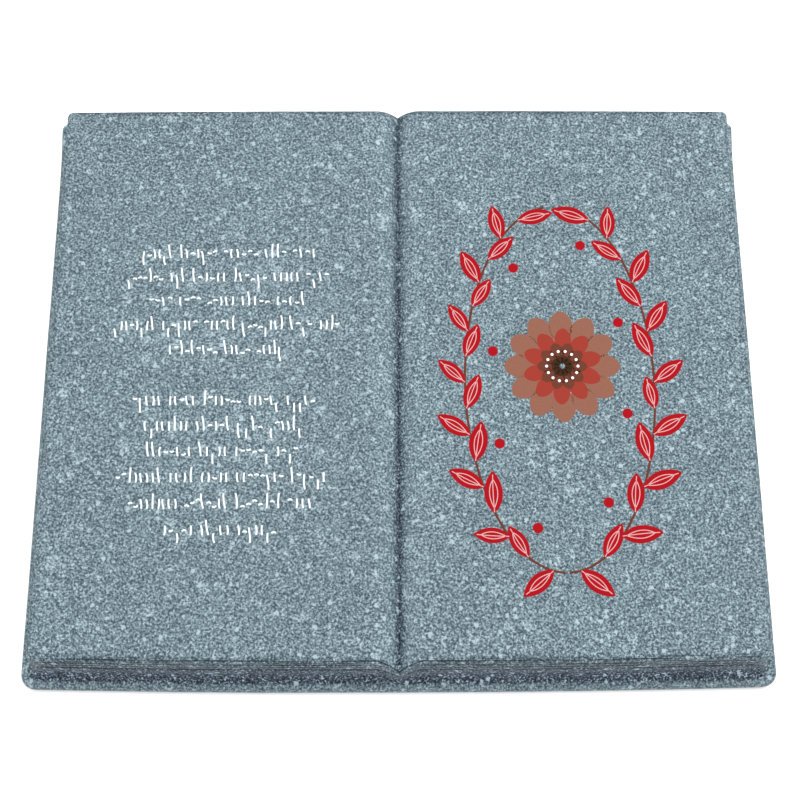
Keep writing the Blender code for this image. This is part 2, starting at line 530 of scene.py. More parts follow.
@dataclass
class BookCasting:
    """The plaque itself: pages, gutter, wall of leaves, cove and lip, as one closed mesh.

    A grid over a rounded rectangle makes the pages, and rings round its rim run down the wall
    to the underside. Sizes are in metres and are those of the solid that the mesh stands for.
    """

    # Names of the mesh's two values of painted shade, which the granite effect reads: the shade of
    # the recesses, and the shade along the leaf lines, which below 0 is a painted highlight on the
    # gutter's shoulders.
    PAINTED_SHADE = "recess"
    LINE_SHADE_AND_HIGHLIGHT = "leaf_line"

    # Form of the plaque.
    width: float = 0.305
    depth: float = 0.254
    height: float = field(default_factory=lambda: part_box(NODE)[1].z)
    gutter_depth: float = 0.0062
    gutter_half_width: float = 0.009
    gutter_power: float = 2.0
    crown_fall: float = 0.0010
    crown_start: float = 0.030
    edge_radius: float = 0.0022
    page_corner: float = 0.0026
    least_corner_share: float = 0.2
    wall_lean: float = 0.0022
    cove_height: float = 0.0085
    cove_reach: float = 0.0046
    lip_height: float = 0.0065
    lip_nose: float = 0.0023
    lip_round_share: float = 0.6
    lip_corner_front: float = 0.0060
    lip_corner_head: float = 0.0034
    foot_radius: float = 0.0008
    front_bow: float = 0.0017
    front_bow_power: float = 2.5
    front_bow_fade: int = 3
    run_out: float = 0.0038
    run_out_power: float = 1.4
    run_out_fade: int = 12
    head_flare: float = 0.0010
    head_flare_run: float = 0.030

    # Leaf lines, from the page down to the cove, cut as grooves with painted shade along them,
    # and how unevenly a hand has cut them.
    leaf_lines: tuple[LeafLine, ...] = (
        LeafLine(-0.90, 0.10, 0.00022),
        LeafLine(-0.58, 0.50, 0.00028),
        LeafLine(-0.30, 0.15, 0.00022),
        LeafLine(0.13, 1.00, 0.00110),
        LeafLine(0.38, 0.45, 0.00080),
        LeafLine(0.66, 0.90, 0.00110),
    )
    groove_depth: float = 0.0009
    groove_fade: float = 0.0045
    line_tone: float = 0.35
    line_strength: float = 0.85
    line_swing: float = 1.1
    line_least: float = 0.1
    line_waver: float = 0.15
    line_swells: float = 45.0
    line_layer: float = 3.7

    # Painted shade of the recesses, as shares of the way from the open granite to the dark one,
    # and the painted highlight on the gutter's shoulders.
    fold_width: float = 0.34
    fold_shade: float = 0.86
    fold_waver: float = 0.0004
    fold_swells: float = 70.0
    fold_track: float = 3.1 / 70
    shoulder_width: float = 1.35
    painted_shoulder_highlight: float = 0.28
    round_shade: float = 0.30
    wall_shade: float = 0.70
    cove_shade_gain: float = 3.2
    side_shade_share: float = 0.35

    # Unevenness of the cast pages and of the lip: depth in metres, and swells to the metre.
    page_sink: float = 0.00012
    page_swell: float = 0.00003
    page_swells: float = 22.0
    page_layer: float = 5.0
    wobble: float = 0.00025
    wobbles: float = 28.0

    # Fineness of the mesh.
    gutter_columns: int = 20
    gutter_column_power: float = 1.3
    page_columns: int = 46
    page_rows: int = 84
    corner_steps: int = 8
    edge_steps: int = 22
    wall_steps: int = 48
    cove_steps: int = 14
    lip_steps: int = 10
    foot_steps: int = 3
    smooth_angle: float = math.radians(40.0)

    @property
    def lip_out(self) -> float:
        """Distance from the page edge to the outside of the lip."""
        return self.wall_lean + self.cove_reach + self.lip_nose

    @property
    def wall_top(self) -> float:
        """Height where the round of the page edge meets the wall."""
        return self.height - self.edge_radius

    @property
    def wall_foot(self) -> float:
        """Height where the wall meets the cove."""
        return self.lip_height + self.cove_height

    def build(self, material: bpy.types.Material) -> bpy.types.Object:
        """Makes the casting.

        Args:
            material: The granite effect.

        Returns:
            The finished piece.
        """
        columns, rows = self._columns(), self._rows()
        across, along = (a.ravel() for a in np.meshgrid(columns, rows))
        rim = self._rim(len(columns), len(rows))
        levels = self._levels()
        points, tones = self._ring(across, along, levels[0])
        faces = self._grid_faces(len(columns), len(rows))
        places, shades, last = [points], [tones], rim
        start = len(points)
        for level in levels[1:]:
            points, tones = self._ring(across[rim], along[rim], level)
            places.append(points)
            shades.append(tones)
            ring = np.arange(start, start + len(rim))
            faces += self._band(last, ring)
            last = ring
            start += len(rim)
        faces.append(last[::-1].tolist())
        mesh = bpy.data.meshes.new("granite_casting")
        mesh.from_pydata(np.concatenate(places).tolist(), [], faces)
        shades = np.concatenate(shades)
        for number, name in enumerate((self.PAINTED_SHADE, self.LINE_SHADE_AND_HIGHLIGHT)):
            attribute = mesh.attributes.new(name, "FLOAT", "POINT")
            attribute.data.foreach_set("value", shades[:, number].astype(np.float32))
        mesh.shade_smooth()
        mesh.set_sharp_from_angle(angle=self.smooth_angle)
        mesh.materials.append(material)
        mesh.validate()
        piece = bpy.data.objects.new("granite_casting", mesh)
        bpy.context.scene.collection.objects.link(piece)
        return piece

    def _page_drop(self, distance: np.ndarray) -> np.ndarray:
        """Works out how far the page lies below its crown.

        Args:
            distance: Distances from the middle of the gutter.

        Returns:
            The drop at each distance.
        """
        run = self.width / 2 - self.lip_out - self.crown_start
        roll = np.clip(1.0 - distance / self.gutter_half_width, 0.0, 1.0)
        past = np.clip(distance - self.crown_start, 0.0, None) / run
        return self.gutter_depth * roll**self.gutter_power + self.crown_fall * past**2

    def _columns(self) -> np.ndarray:
        """Spaces the grid across both pages, closer together in the gutter.

        Returns:
            Places from -2 to 2, where 1 is the start of a corner.
        """
        straight = self.width / 2 - self.lip_out - self.page_corner
        steps = np.arange(self.gutter_columns) / self.gutter_columns
        gutter = self.gutter_half_width * steps**self.gutter_column_power
        page = np.linspace(self.gutter_half_width, straight, self.page_columns + 1)
        half = np.concatenate([np.concatenate([gutter, page]) / straight, self._corner()])
        return np.concatenate([-half[:0:-1], half])

    def _rows(self) -> np.ndarray:
        """Returns the grid's places from the reader's edge to the head, -2 to 2."""
        straight = np.linspace(-1.0, 1.0, self.page_rows + 1)
        return np.concatenate([-self._corner()[::-1], straight, self._corner()])

    def _corner(self) -> np.ndarray:
        """Returns the grid's places from just past the start of a corner to the outside."""
        return 1.0 + np.arange(1, self.corner_steps + 1) / self.corner_steps

    @staticmethod
    def _grid_faces(columns: int, rows: int) -> list[list[int]]:
        """Makes the quads of the pages, facing up.

        Args:
            columns: How many points a row has.
            rows: How many rows there are.

        Returns:
            The corners of each quad.
        """
        corner = (np.arange(rows - 1)[:, None] * columns + np.arange(columns - 1)).ravel()
        quads = np.stack([corner, corner + 1, corner + columns + 1, corner + columns], axis=1)
        return quads.tolist()

    @staticmethod
    def _rim(columns: int, rows: int) -> np.ndarray:
        """Finds the grid's rim.

        Args:
            columns: How many points a row has.
            rows: How many rows there are.

        Returns:
            The rim's points, counterclockwise from above.
        """
        index = np.arange(rows * columns).reshape(rows, columns)
        return np.concatenate([index[0, :-1], index[:-1, -1], index[-1, :0:-1], index[:0:-1, 0]])

    @staticmethod
    def _band(upper: np.ndarray, lower: np.ndarray) -> list[list[int]]:
        """Makes the quads between two rings, facing out.

        Args:
            upper: The points of the upper ring.
            lower: The points of the lower ring.

        Returns:
            The corners of each quad.
        """
        ahead = np.roll(upper, -1), np.roll(lower, -1)
        return np.stack([lower, ahead[1], ahead[0], upper], axis=1).tolist()

    def _levels(self) -> list[Level]:
        """Works out the rings, from the flat of the page to the underside.

        Returns:
            The rings of the round, the wall, the cove, the lip and the foot, in that order.
        """
        quarter = math.pi / 2
        sharp = max(self.page_corner - self.edge_radius, self.page_corner * self.least_corner_share)
        levels = []
        for turn in np.linspace(0.0, quarter, self.edge_steps + 1):
            levels.append(
                Level(
                    out=self.edge_radius * (math.sin(turn) - 1.0),
                    height=self.height - self.edge_radius * (1.0 - math.cos(turn)),
                    corner=sharp + (self.page_corner - sharp) * math.sin(turn),
                    page=1.0,
                    wall=turn / quarter - 1.0,
                )
            )
        for share in np.linspace(0.0, 1.0, self.wall_steps + 1)[1:]:
            levels.append(
                Level(
                    out=self.wall_lean * share,
                    height=self.wall_top + (self.wall_foot - self.wall_top) * share,
                    corner=self.page_corner,
                    page=1.0 - share,
                    wall=share,
                )
            )
        # The cove's rings, with painted shade that fades towards the lip.
        for turn in np.linspace(0.0, quarter, self.cove_steps + 1)[1:]:
            reach = 1.0 - math.cos(turn)
            levels.append(
                Level(
                    out=self.wall_lean + self.cove_reach * reach,
                    height=self.lip_height + self.cove_height * (1.0 - math.sin(turn)),
                    corner=self.page_corner,
                    lip=reach,
                    cove=min(1.0, self.cove_shade_gain * (1.0 - reach)),
                )
            )
        nose_height = (self.lip_height - self.foot_radius) * self.lip_round_share
        for turn in np.linspace(0.0, quarter, self.lip_steps + 1)[1:]:
            levels.append(
                Level(
                    out=self.lip_out - self.lip_nose * (1.0 - math.sin(turn)),
                    height=self.lip_height - nose_height * (1.0 - math.cos(turn)),
                    corner=self.page_corner,
                    lip=1.0,
                )
            )
        for turn in np.linspace(0.0, quarter, self.foot_steps + 1):
            drawn_in = self.foot_radius * (1.0 - math.cos(turn))
            levels.append(
                Level(
                    out=self.lip_out - drawn_in,
                    height=self.foot_radius * (1.0 - math.sin(turn)),
                    corner=self.page_corner,
                    lip=1.0,
                    drawn_in=drawn_in,
                )
            )
        return levels

    def _ring(
        self, across: np.ndarray, along: np.ndarray, level: Level
    ) -> tuple[np.ndarray, np.ndarray]:
        """Places grid points on a level.

        Args:
            across: Places across, -2 to 2, where 1 is the start of a corner.
            along: Places along, in the same way.
            level: The ring.

        Returns:
            The points, and for each its share of painted shade and its share of painted shade along
            the leaf lines. The second share is below 0 where a painted highlight makes the granite
            paler, on the gutter's shoulders.
        """
        half_x = self.width / 2 - self.lip_out + level.out
        half_y = self.depth / 2 - self.lip_out + level.out
        lip_corner = np.where(along < 0.0, self.lip_corner_front, self.lip_corner_head)
        radius = level.corner + (lip_corner - self.page_corner) * level.lip
        radius = radius - level.drawn_in
        normal_x, normal_y, reach = self._facing(across, along)
        x = np.clip(across, -1.0, 1.0) * (half_x - radius) + normal_x * reach * radius
        y = np.clip(along, -1.0, 1.0) * (half_y - radius) + normal_y * reach * radius
        dip = np.clip(1.0 - np.abs(x) / self.gutter_half_width, 0.0, None) ** self.run_out_power
        share = 0.5 * (level.page + 1.0 - level.lip)
        y = y - self.run_out * dip * share * np.clip(-y / half_y, 0.0, None) ** self.run_out_fade
        toward_front = np.clip(-y / half_y, 0.0, None) ** self.front_bow_fade
        y = y + self.front_bow * toward_front * np.abs(x / half_x) ** self.front_bow_power
        past = np.clip((y - (half_y - self.head_flare_run)) / self.head_flare_run, 0.0, None)
        x = x + self.head_flare * level.lip * (x / half_x) * past**2
        height = level.height - level.page * self._page_drop(np.abs(x))
        dip, tones = self._relief(across, along, x, y, normal_y, level)
        x = x - normal_x * dip
        y = y - normal_y * dip
        height = np.where(reach > 0.0, height, height - self._unevenness(x, y))
        return np.stack([x, y, height], axis=1), tones

    @staticmethod
    def _facing(
        across: np.ndarray, along: np.ndarray
    ) -> tuple[np.ndarray, np.ndarray, np.ndarray]:
        """Finds which way grid points face, and how far out in a corner or edge they lie.

        Args:
            across: Places across, -2 to 2.
            along: Places along, -2 to 2.

        Returns:
            X and Y of the direction, and the reach, 0 on the flat to 1 at the outside.
        """
        corner_x = np.clip(np.abs(across) - 1.0, 0.0, None)
        corner_y = np.clip(np.abs(along) - 1.0, 0.0, None)
        reach = np.maximum(corner_x, corner_y)
        lean = np.where(
            corner_x >= corner_y,
            corner_y / np.maximum(corner_x, 1e-9),
            2.0 - corner_x / np.maximum(corner_y, 1e-9),
        )
        both = (corner_x > 0.0) & (corner_y > 0.0)
        turn = np.where(both, 0.25 * math.pi * lean, np.arctan2(corner_y, corner_x))
        normal_x = np.sign(across) * np.where(reach > 0.0, np.cos(turn), 0.0)
        normal_y = np.sign(along) * np.where(reach > 0.0, np.sin(turn), 0.0)
        return normal_x, normal_y, reach

    def _relief(
        self,
        across: np.ndarray,
        along: np.ndarray,
        x: np.ndarray,
        y: np.ndarray,
        normal_y: np.ndarray,
        level: Level,
    ) -> tuple[np.ndarray, np.ndarray]:
        """Works out the fine relief of a level, its painted shade and its painted highlight.

        Args:
            across: Places across, -2 to 2.
            along: Places along, -2 to 2.
            x: Points' X before the relief.
            y: Points' Y before the relief.
            normal_y: Y of the direction that each point faces.
            level: The ring.

        Returns:
            How far each point is pushed in, its share of painted shade, and its share of painted
            shade along the leaf lines, below 0 for the painted highlight on the gutter's shoulders.
        """
        # Painted shade along the gutter's fold, and a painted highlight on its shoulders.
        waver = self.fold_waver * wave(np.full_like(y, self.fold_track), y, self.fold_swells, 0.0)
        fold = 1.0 - np.abs(x + waver) / (self.fold_width * self.gutter_half_width)
        fold = np.clip(fold, 0.0, 1.0) * level.page
        shoulder = 1.0 - np.abs(x) / (self.shoulder_width * self.gutter_half_width)
        painted_highlight = -self.painted_shoulder_highlight * np.clip(shoulder, 0.0, 1.0) * level.page * (1.0 - fold)
        recess = self.fold_shade * fold
        dip, line = np.zeros_like(x), np.zeros_like(x)
        # Painted shade is full on faces that look to the front or the head, and weaker elsewhere.
        facing = self.side_shade_share + (1.0 - self.side_shade_share) * normal_y**2
        if level.wall is not None:
            cut, line = self._grooves(across, along, x, y, level.wall)
            line = line * facing
            dip += self.groove_depth * cut
            # Painted shade on the lower round and the wall, deepening down the wall, and along the leaf
            # lines.
            ground = self.round_shade * np.clip(1.0 + 2.0 * level.wall, 0.0, 1.0)
            ground += self.wall_shade * max(level.wall, 0.0)
            recess = np.maximum(recess, facing * (ground + (1.0 - ground) * line))
        # Painted shade in the cove.
        recess = np.maximum(recess, facing * level.cove)
        if level.lip > 0.0:
            dip += self.wobble * level.lip * (0.5 + 0.5 * wave(x, y, self.wobbles, 0.0))
        return dip, np.stack([np.clip(recess, 0.0, 1.0), line + painted_highlight], axis=1)

    def _grooves(
        self, across: np.ndarray, along: np.ndarray, x: np.ndarray, y: np.ndarray, share: float
    ) -> tuple[np.ndarray, np.ndarray]:
        """Works out the leaf lines at a share of the wall: grooves, with painted shade along them.
        They fade out towards the corners.

        Args:
            across: Places across, -2 to 2.
            along: Places along, -2 to 2.
            x: Points' X.
            y: Points' Y.
            share: The share of the wall, below 0 on the round above it.

        Returns:
            How deep the lines cut, and how far their painted shade darkens them, both 0 to 1.
        """
        on_side, on_front = np.abs(across) > 1.0, np.abs(along) > 1.0
        to_corner = np.where(on_side, 1.0 - np.abs(along), 1.0 - np.abs(across))
        half_run = np.where(on_side, self.depth / 2, self.width / 2)
        fade = np.clip(to_corner * half_run / self.groove_fade, 0.0, 1.0)
        fade = np.where(on_side & on_front, 0.0, fade)
        cut, shade = np.zeros_like(x), np.zeros_like(x)
        for number, line in enumerate(self.leaf_lines):
            on_round = line.place < 0.0
            if on_round != (share < 0.0):
                continue
            hand = wave(x, y, self.line_swells, self.line_layer * number)
            run = self.edge_radius if on_round else self.wall_top - self.wall_foot
            away = (share - line.place) * run + self.line_waver * line.half_width * hand
            strength = np.clip(self.line_strength + self.line_swing * hand, self.line_least, 1.0)
            profile = strength * np.exp(-((away / line.half_width) ** 2))
            cut = np.maximum(cut, line.depth * profile)
            shade = np.maximum(shade, min(self.line_tone + line.depth, 1.0) * profile)
        return cut * fade, shade * fade

    def _unevenness(self, x: np.ndarray, y: np.ndarray) -> np.ndarray:
        """Returns how far the cast pages dip at places."""
        swell = np.clip(wave(x, y, self.page_swells, self.page_layer), -1.0, 1.0)
        return self.page_sink + self.page_swell * (1.0 + swell)


def bake(piece: bpy.types.Object) -> bpy.types.Object:
    """Turns a piece's modifiers into a plain mesh and removes them.

    Args:
        piece: The piece, with its modifiers.

    Returns:
        The same piece.
    """
    graph = bpy.context.evaluated_depsgraph_get()
    mesh = bpy.data.meshes.new_from_object(piece.evaluated_get(graph))
    mesh.name = piece.name
    piece.modifiers.clear()
    piece.data = mesh
    return piece


def run_tree(
    name: str, seed_mesh: bpy.types.Mesh, tree: Tree, values: dict[str, object]
) -> bpy.types.Object:
    """Runs a Geometry Nodes tree on a mesh and bakes the result.

    Args:
        name: The new piece's name.
        seed_mesh: What the tree starts from.
        tree: The tree.
        values: The tree's inputs, by name.

    Returns:
        The baked piece, linked to the scene.
    """
    piece = bpy.data.objects.new(name, seed_mesh)
    bpy.context.scene.collection.objects.link(piece)
    modifier = piece.modifiers.new(name, "NODES")
    modifier.node_group = tree
    for item in tree.interface.items_tree:
        if item.in_out == "INPUT" and item.name in values:
            modifier[item.identifier] = values[item.name]
    return bake(piece)


class FilmTree:
    """A Geometry Nodes tree that makes printed films and lays them on a page.

    Its subclasses make the flat shapes. Heights above 0 stand proud of the page, and heights
    below 0 are sunk in it. Real ink is thinner than these films, which are drawn thick enough
    to stay clear of the page.
    """

    name = "film"
    sockets: dict[str, tuple[str, object]] = {}
    common: dict[str, tuple[str, object]] = {
        "Page": ("NodeSocketObject", None),
        "Ink": ("NodeSocketMaterial", None),
        "Stroke Width": ("NodeSocketFloat", 0.0006),
        "Film Height": ("NodeSocketFloat", 0.0001),
        "Seed": ("NodeSocketInt", 1),
    }
    ray_start = 0.2
    ray_length = 0.4

    def __init__(self) -> None:
        """Makes the tree with its sockets."""
        self.tree = bpy.data.node_groups.new(self.name, "GeometryNodeTree")
        face = self.tree.interface
        face.new_socket("Geometry", in_out="INPUT", socket_type="NodeSocketGeometry")
        for name, (kind, value) in {**self.sockets, **self.common}.items():
            socket = face.new_socket(name, in_out="INPUT", socket_type=kind)
            if value is not None:
                socket.default_value = value
        face.new_socket("Geometry", in_out="OUTPUT", socket_type="NodeSocketGeometry")
        self.given = add_node(self.tree, "NodeGroupInput").outputs
        self.finish(self.laid_on_page(self.shapes()))

    def add(
        self, kind: str, inputs: dict[int | str, object] | None = None, **settings: object
    ) -> Socket:
        """Adds a node to this tree, as add_node does, and returns its first output."""
        return add_node(self.tree, kind, inputs, **settings).outputs[0]

    def random(self, low: float, high: float, salt: int) -> Socket:
        """Draws a random number for each point, fixed by the seed and a salt.

        Args:
            low: The least value.
            high: The greatest value.
            salt: A number that sets this draw apart from the others.

        Returns:
            The number's socket.
        """
        seed = self.add("ShaderNodeMath", {0: self.given["Seed"], 1: salt}, operation="ADD")
        draw = add_node(self.tree, "FunctionNodeRandomValue", {2: low, 3: high, "Seed": seed})
        return draw.outputs[1]

    def shapes(self) -> Socket:
        """Returns the flat films, made by a subclass."""
        raise NotImplementedError

    def ribbon(self, curves: Socket) -> Socket:
        """Sweeps curves into closed flat strokes of even width.

        Args:
            curves: The middle lines of the strokes.

        Returns:
            The strokes, half of their height above 0 and half below.
        """
        proud = self.given["Film Height"]
        height = self.add("ShaderNodeMath", {0: proud, 1: 2.0}, operation="MULTIPLY")
        profile = self.add(
            "GeometryNodeCurvePrimitiveQuadrilateral",
            {0: self.given["Stroke Width"], 1: height},
        )
        return self.add(
            "GeometryNodeCurveToMesh",
            {"Curve": curves, "Profile Curve": profile, "Fill Caps": True},
        )

    def laid_on_page(self, shapes: Socket) -> Socket:
        """Drops each point on the page below it, keeping its own height above the page.

        Args:
            shapes: The flat films.

        Returns:
            The films on the page.
        """
        page = add_node(self.tree, "GeometryNodeObjectInfo", {0: self.given["Page"]})
        place = self.add("GeometryNodeInputPosition")
        x, y, own_height = add_node(self.tree, "ShaderNodeSeparateXYZ", {0: place}).outputs
        above = self.add("ShaderNodeCombineXYZ", {0: x, 1: y, 2: self.ray_start})
        hit = add_node(
            self.tree,
            "GeometryNodeRaycast",
            {
                "Target Geometry": page.outputs["Geometry"],
                "Source Position": above,
                "Ray Direction": (0.0, 0.0, -1.0),
                "Ray Length": self.ray_length,
            },
        ).outputs["Hit Position"]
        ground = add_node(self.tree, "ShaderNodeSeparateXYZ", {0: hit}).outputs[2]
        height = self.add("ShaderNodeMath", {0: ground, 1: own_height}, operation="ADD")
        landed = self.add("ShaderNodeCombineXYZ", {0: x, 1: y, 2: height})
        return self.add("GeometryNodeSetPosition", {"Geometry": shapes, "Position": landed})

    def finish(self, shapes: Socket) -> None:
        """Ends the tree: instances made real, and the ink.

        Args:
            shapes: The films on the page.
        """
        real = self.add("GeometryNodeRealizeInstances", {0: shapes})
        inked = self.add("GeometryNodeSetMaterial", {"Geometry": real, "Material": self.given["Ink"]})
        add_node(self.tree, "NodeGroupOutput", {0: inked})


class StrokeRowTree(FilmTree):
    """Sets short strokes along each edge of a mesh, as rows of hand-drawn marks.

    Each place draws the kind of its mark. Leans are in radians, and rises, drops, bends and
    sizes are shares of the small height.
    """

    name = "rows_of_strokes"
    sockets = {
        "Stroke Pitch": ("NodeSocketFloat", 0.0014),
        "Small Height": ("NodeSocketFloat", 0.0023),
        "Tall Height": ("NodeSocketFloat", 0.0046),
    }
    lot_salt = 11
    tick_share = 0.64
    tick_lean = (-0.03, 0.19)
    tick_bend = (-1.1, 1.1)
    tall_from = 0.68
    drop_from = 0.84
    drop = -0.8
    bow_lean = (0.2, 0.7)
    bow_rise = (0.15, 0.95)
    bow_size = (0.40, 0.47)
    bow_sweep = 2.3
    bow_middle = (0.144, 0.321, 0.0)

    def shapes(self) -> Socket:
        """Makes the strokes of every row.

        Returns:
            The strokes, laid out flat.
        """
        curves = self.add("GeometryNodeMeshToCurve", {0: self.given["Geometry"]})
        points = self.add(
            "GeometryNodeResampleCurve",
            {"Curve": curves, "Length": self.given["Stroke Pitch"]},
            mode="LENGTH",
        )
        lot = self.random(0.0, 1.0, self.lot_salt)
        ticks = self.ticks(points, self.between(lot, 0.0, self.tick_share))
        bows = self.bows(points, self.between(lot, self.tick_share, 1.0))
        joined = add_node(self.tree, "GeometryNodeJoinGeometry")
        for marks in (ticks, bows):
            self.tree.links.new(marks, joined.inputs[0])
        real = self.add("GeometryNodeRealizeInstances", {0: joined.outputs[0]})
        return self.ribbon(real)

    def between(self, value: Socket, low: float, high: float) -> Socket:
        """Finds whether a value lies between two others.

        Args:
            value: The value.
            low: The lower bound.
            high: The upper bound.

        Returns:
            1 where it does, and 0 elsewhere.
        """
        above = self.add("ShaderNodeMath", {0: value, 1: low}, operation="GREATER_THAN")
        below = self.add("ShaderNodeMath", {0: value, 1: high}, operation="LESS_THAN")
        return self.add("ShaderNodeMath", {0: above, 1: below}, operation="MULTIPLY")

    def ticks(self, points: Socket, chosen: Socket) -> Socket:
        """Sets upright strokes: small ones and tall ones, some of which start below the row.

        Args:
            points: The points of the rows.
            chosen: Whether a point gets a tick.

        Returns:
            The instances.
        """
        salt = Stroke.TICK.value
        small, tall = self.given["Small Height"], self.given["Tall Height"]
        mark = self.add(
            "GeometryNodeCurveQuadraticBezier",
            {0: 5, 1: (0.0, 0.0, 0.0), 2: (0.16, 0.5, 0.0), 3: (0.0, 1.0, 0.0)},
        )
        lean = self.random(*self.tick_lean, salt)
        is_tall = self.between(self.random(0.0, 1.0, salt + 1), self.tall_from, 2.0)
        more = self.add("ShaderNodeMath", {0: tall, 1: small}, operation="SUBTRACT")
        size = self.add("ShaderNodeMath", {0: is_tall, 1: more, 2: small}, operation="MULTIPLY_ADD")
        drops = self.between(self.random(0.0, 1.0, salt + 2), self.drop_from, 2.0)
        depth = self.add("ShaderNodeMath", {0: small, 1: self.drop}, operation="MULTIPLY")
        rise = self.add("ShaderNodeMath", {0: drops, 1: depth}, operation="MULTIPLY")
        bend = self.random(*self.tick_bend, salt + 3)
        wide = self.add("ShaderNodeMath", {0: small, 1: bend}, operation="MULTIPLY")
        scale = self.add("ShaderNodeCombineXYZ", {0: wide, 1: size, 2: 1.0})
        return self.placed(points, chosen, mark, rise, lean, scale)

    def bows(self, points: Socket, chosen: Socket) -> Socket:
        """Sets open bows, each a third of a ring, some with the opening up and some down.

        Args:
            points: The points of the rows.
            chosen: Whether a point gets a bow.

        Returns:
            The instances.
        """
        salt = Stroke.BOW.value
        small = self.given["Small Height"]
        arc = self.add(
            "GeometryNodeCurveArc", {"Resolution": 8, "Radius": 0.5, "Sweep Angle": self.bow_sweep}
        )
        to_origin = tuple(-place for place in self.bow_middle)
        mark = self.add("GeometryNodeTransform", {"Geometry": arc, "Translation": to_origin})
        way_up = self.add("ShaderNodeMath", {0: self.random(0.0, 2.0, salt + 4)}, operation="FLOOR")
        lean = self.add(
            "ShaderNodeMath",
            {0: way_up, 1: math.pi, 2: self.random(*self.bow_lean, salt + 6)},
            operation="MULTIPLY_ADD",
        )
        share = self.random(*self.bow_rise, salt + 7)
        rise = self.add("ShaderNodeMath", {0: small, 1: share}, operation="MULTIPLY")
        width = self.random(*self.bow_size, salt + 8)
        size = self.add("ShaderNodeMath", {0: small, 1: width}, operation="MULTIPLY")
        scale = self.add("ShaderNodeCombineXYZ", {0: size, 1: size, 2: 1.0})
        return self.placed(points, chosen, mark, rise, lean, scale)

    def placed(
        self, points: Socket, chosen: Socket, mark: Socket, rise: Socket, lean: Socket, scale: Socket
    ) -> Socket:
        """Sets one kind of mark on the points that its lot chooses.

        Args:
            points: The points of the rows.
            chosen: Whether a point gets the mark.
            mark: The mark's curve.
            rise: How far it stands above the row.
            lean: How far it is turned.
            scale: Its size.

        Returns:
            The instances.
        """
        lift = self.add("ShaderNodeCombineXYZ", {0: 0.0, 1: rise})
        lifted = self.add("GeometryNodeSetPosition", {"Geometry": points, "Offset": lift})
        turn = self.add("ShaderNodeCombineXYZ", {2: lean})
        return self.add(
            "GeometryNodeInstanceOnPoints",
            {"Points": lifted, "Selection": chosen, "Instance": mark, "Rotation": turn, "Scale": scale},
        )


